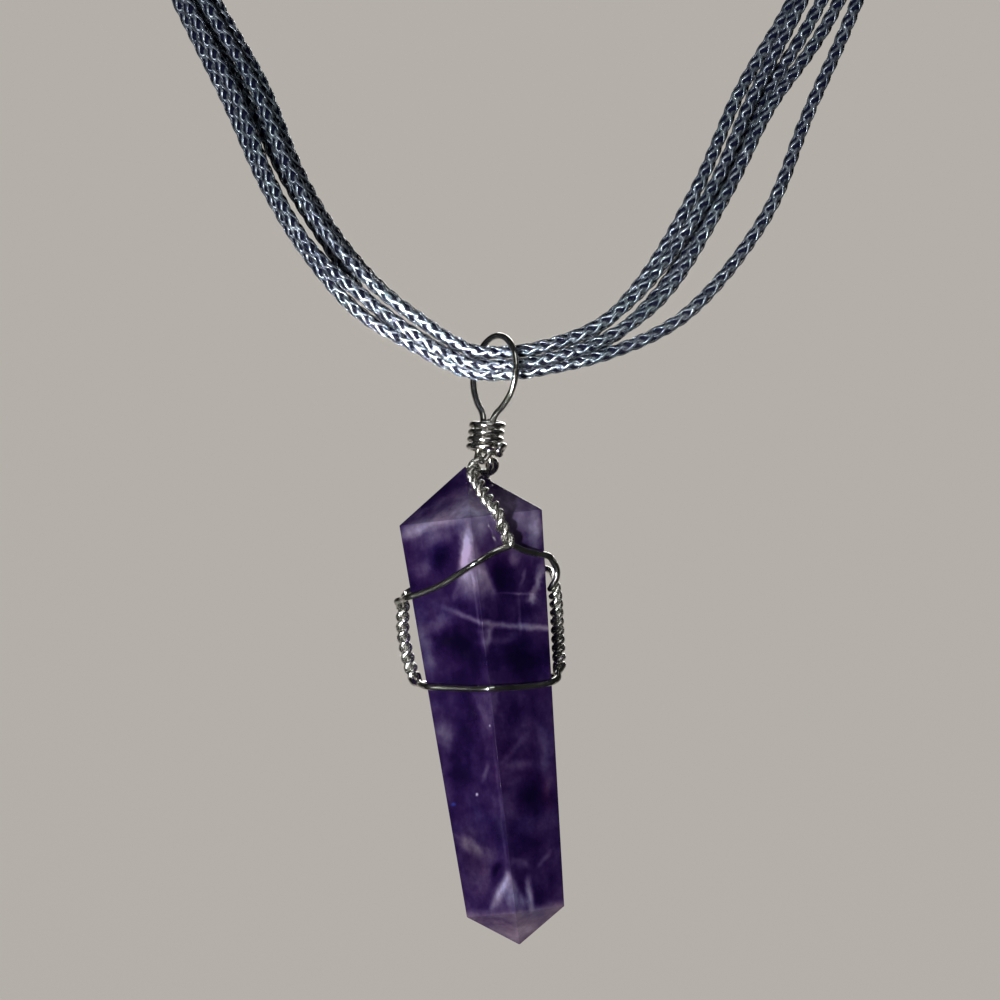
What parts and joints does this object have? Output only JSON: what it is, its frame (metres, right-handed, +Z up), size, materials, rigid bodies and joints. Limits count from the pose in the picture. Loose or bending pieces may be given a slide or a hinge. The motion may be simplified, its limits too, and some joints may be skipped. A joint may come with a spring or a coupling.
{
  "type": "amethyst pendant on a strand necklace",
  "caption": "Wire-wrapped amethyst crystal point hanging by a wire bail from a necklace of knitted metallic strands.",
  "frame": {"origin": "where the necklace rests on the nape: midway along the clasp, on the neck's side of the end caps", "axes": "+Z up, +X to the wearer's left, -Y the way the wearer faces; the pendant hangs along -Z"},
  "size_m": [0.1188, 0.1162, 0.166],
  "materials": {
    "amethyst": "polished translucent crystal with cloudy veils",
    "silver_wire": "polished silver wire",
    "metallic_yarn": "knitted dark blue core under a silver metallic yarn",
    "silver_fitting": "polished silver, lightly brushed"
  },
  "bodies": {
    "necklace": {"strand_1": "metallic_yarn", "strand_2": "metallic_yarn", "strand_3": "metallic_yarn", "strand_4": "metallic_yarn", "strand_5": "metallic_yarn", "end_cap_left": "silver_fitting", "end_cap_right": "silver_fitting", "clasp": "silver_fitting"},
    "pendant": {"amethyst_point": "amethyst", "front_cage_wire": "silver_wire", "back_cage_wire": "silver_wire", "bail_loop": "silver_wire", "neck_coil": "silver_wire"}
  },
  "joints": [
    {"name": "pendant_swing", "type": "hinge", "parent": "necklace", "child": "pendant", "pos_m": [0, -0.105, -0.117], "axis": [1, 0, 0], "range_deg": [-60, 60]}
  ]
}
